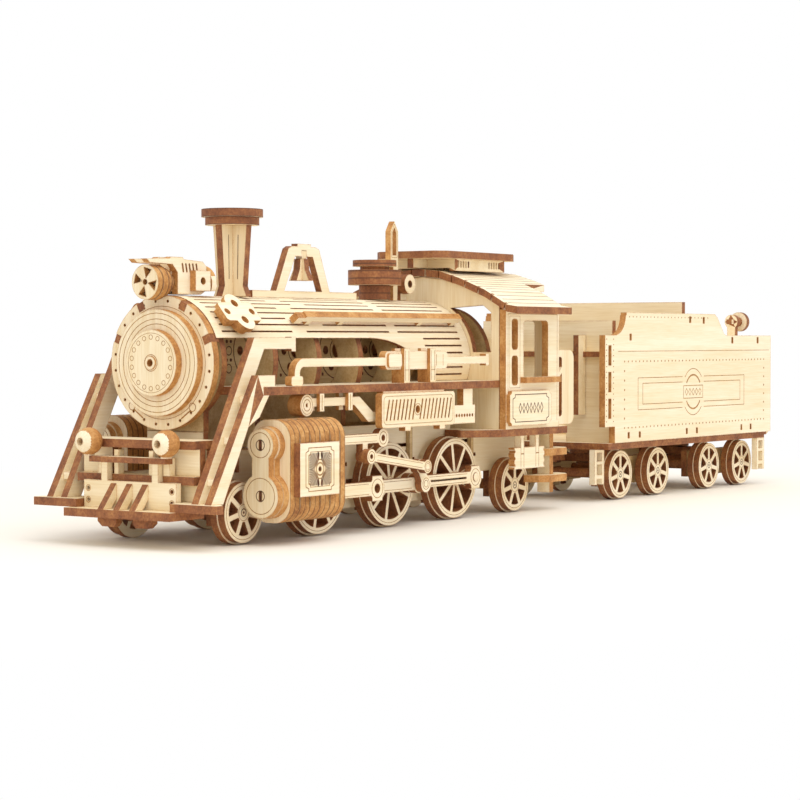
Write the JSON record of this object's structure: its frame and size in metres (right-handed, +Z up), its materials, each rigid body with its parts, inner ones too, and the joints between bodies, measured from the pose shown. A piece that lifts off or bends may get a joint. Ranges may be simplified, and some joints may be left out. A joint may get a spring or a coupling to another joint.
{
  "type": "wooden locomotive puzzle model",
  "caption": "Plug-together laser-cut plywood model of a steam locomotive with tender, turning spoked wheels, coupled side rods and pivoting tender bogies.",
  "frame": {"origin": "middle of the base: on the rail plane under the centre of the overall length and width", "axes": "+X from the pilot at the front to the tender's end, +Y across to the engine's right-hand side seen from behind, +Z up"},
  "size_m": [0.307, 0.067, 0.082],
  "materials": {
    "birch_plywood": "bare laser-cut plywood, matte",
    "bent_plywood": "bare laser-cut plywood, matte",
    "shelf_plywood": "bare laser-cut plywood, matte",
    "stacked_plywood": "bare laser-cut plywood, matte",
    "wheel_plywood": "bare laser-cut plywood, matte",
    "rod_plywood": "bare laser-cut plywood, matte",
    "laser_burn": "bare laser-cut plywood, matte"
  },
  "bodies": {
    "engine": {"main_frame": "birch_plywood", "frame_spacers": "birch_plywood", "boiler_ribs": "stacked_plywood", "boiler_web": "birch_plywood", "boiler_cladding": "bent_plywood", "smokebox_front": "stacked_plywood", "smokebox_door": "stacked_plywood", "headlamp": "stacked_plywood", "lamp_bracket": "birch_plywood", "chimney": "birch_plywood", "chimney_cap": "shelf_plywood", "bell_frame": "birch_plywood", "bell": "birch_plywood", "dome": "shelf_plywood", "whistle": "birch_plywood", "steam_valve": "birch_plywood", "handrails": "birch_plywood", "sand_covers": "birch_plywood", "running_boards": "shelf_plywood", "inner_struts": "birch_plywood", "outer_struts": "birch_plywood", "air_tanks": "birch_plywood", "feed_pipes": "birch_plywood", "side_tanks": "birch_plywood", "pilot_deck": "shelf_plywood", "pilot_grille": "birch_plywood", "buffer_beam": "shelf_plywood", "buffer_lamps": "stacked_plywood", "cylinders": "stacked_plywood", "cylinder_covers": "stacked_plywood", "cylinder_plates": "birch_plywood", "cab_front": "stacked_plywood", "cab_sides": "birch_plywood", "cab_rear": "stacked_plywood", "backhead": "stacked_plywood", "cab_roof": "bent_plywood", "roof_hatch": "shelf_plywood", "footplate": "shelf_plywood", "toolboxes": "birch_plywood"},
    "leading_axle": {"leading_wheels": "wheel_plywood"},
    "driver_axle_1": {"driver_wheels_1": "wheel_plywood"},
    "driver_axle_2": {"driver_wheels_2": "wheel_plywood"},
    "driver_axle_3": {"driver_wheels_3": "wheel_plywood"},
    "trailing_axle": {"trailing_wheels": "wheel_plywood"},
    "coupling_rod_set": {"coupling_rods": "rod_plywood"},
    "main_rod_set": {"main_rods": "rod_plywood"},
    "eccentric_rod_set": {"eccentric_rods": "rod_plywood"},
    "piston_set": {"pistons": "rod_plywood"},
    "valve_set": {"valve_rods": "rod_plywood"},
    "drawbar_link": {"drawbar": "birch_plywood"},
    "tender": {"tender_platform": "shelf_plywood", "tender_sides": "birch_plywood", "tender_bulkheads": "birch_plywood", "tender_lamp": "birch_plywood"},
    "front_bogie": {"bogie_front": "birch_plywood"},
    "rear_bogie": {"bogie_rear": "birch_plywood"},
    "tender_axle_1": {"tender_wheels_1": "wheel_plywood"},
    "tender_axle_2": {"tender_wheels_2": "wheel_plywood"},
    "tender_axle_3": {"tender_wheels_3": "wheel_plywood"},
    "tender_axle_4": {"tender_wheels_4": "wheel_plywood"}
  },
  "joints": [
    {"name": "leading_spin", "type": "hinge", "parent": "engine", "child": "leading_axle", "pos_m": [-0.1295, 0, 0.0078], "axis": [0, 1, 0], "continuous": true},
    {"name": "driver_1_spin", "type": "hinge", "parent": "engine", "child": "driver_axle_1", "pos_m": [-0.0995, 0, 0.0114], "axis": [0, 1, 0], "continuous": true},
    {"name": "driver_2_spin", "type": "hinge", "parent": "engine", "child": "driver_axle_2", "pos_m": [-0.0685, 0, 0.0114], "axis": [0, 1, 0], "continuous": true},
    {"name": "driver_3_spin", "type": "hinge", "parent": "engine", "child": "driver_axle_3", "pos_m": [-0.0375, 0, 0.0114], "axis": [0, 1, 0], "continuous": true},
    {"name": "trailing_spin", "type": "hinge", "parent": "engine", "child": "trailing_axle", "pos_m": [-0.0065, 0, 0.0078], "axis": [0, 1, 0], "continuous": true},
    {"name": "coupling_rod_turn", "type": "hinge", "parent": "driver_axle_2", "child": "coupling_rod_set", "pos_m": [-0.0619, 0, 0.0114], "axis": [0, 1, 0], "continuous": true},
    {"name": "main_rod_turn", "type": "hinge", "parent": "driver_axle_2", "child": "main_rod_set", "pos_m": [-0.0619, 0, 0.0114], "axis": [0, 1, 0], "continuous": true},
    {"name": "eccentric_rod_turn", "type": "hinge", "parent": "driver_axle_2", "child": "eccentric_rod_set", "pos_m": [-0.0645, 0, 0.0161], "axis": [0, 1, 0], "continuous": true},
    {"name": "piston_slide", "type": "slide", "parent": "engine", "child": "piston_set", "axis": [-1, 0, 0], "range_m": [0, 0.0132]},
    {"name": "valve_slide", "type": "slide", "parent": "engine", "child": "valve_set", "axis": [-1, 0, 0], "range_m": [-0.002, 0.006]},
    {"name": "drawbar_swing", "type": "hinge", "parent": "engine", "child": "drawbar_link", "pos_m": [0.009, 0, 0.013], "axis": [0, 0, 1], "range_deg": [-12, 12]},
    {"name": "tender_swing", "type": "hinge", "parent": "drawbar_link", "child": "tender", "pos_m": [0.047, 0, 0.015], "axis": [0, 0, 1], "range_deg": [-15, 15]},
    {"name": "front_bogie_swivel", "type": "hinge", "parent": "tender", "child": "front_bogie", "pos_m": [0.0671, 0, 0.012], "axis": [0, 0, 1], "range_deg": [-6, 6]},
    {"name": "rear_bogie_swivel", "type": "hinge", "parent": "tender", "child": "rear_bogie", "pos_m": [0.1267, 0, 0.012], "axis": [0, 0, 1], "range_deg": [-6, 6]},
    {"name": "tender_1_spin", "type": "hinge", "parent": "front_bogie", "child": "tender_axle_1", "pos_m": [0.055, 0, 0.0078], "axis": [0, 1, 0], "continuous": true},
    {"name": "tender_2_spin", "type": "hinge", "parent": "front_bogie", "child": "tender_axle_2", "pos_m": [0.0792, 0, 0.0078], "axis": [0, 1, 0], "continuous": true},
    {"name": "tender_3_spin", "type": "hinge", "parent": "rear_bogie", "child": "tender_axle_3", "pos_m": [0.1146, 0, 0.0078], "axis": [0, 1, 0], "continuous": true},
    {"name": "tender_4_spin", "type": "hinge", "parent": "rear_bogie", "child": "tender_axle_4", "pos_m": [0.1388, 0, 0.0078], "axis": [0, 1, 0], "continuous": true}
  ],
  "couplings": [
    {"joint": "driver_1_spin", "follows": "driver_2_spin", "ratio": 1},
    {"joint": "driver_3_spin", "follows": "driver_2_spin", "ratio": 1},
    {"joint": "coupling_rod_turn", "follows": "driver_2_spin", "ratio": -1},
    {"joint": "main_rod_turn", "follows": "driver_2_spin", "ratio": -1},
    {"joint": "eccentric_rod_turn", "follows": "driver_2_spin", "ratio": -1}
  ]
}
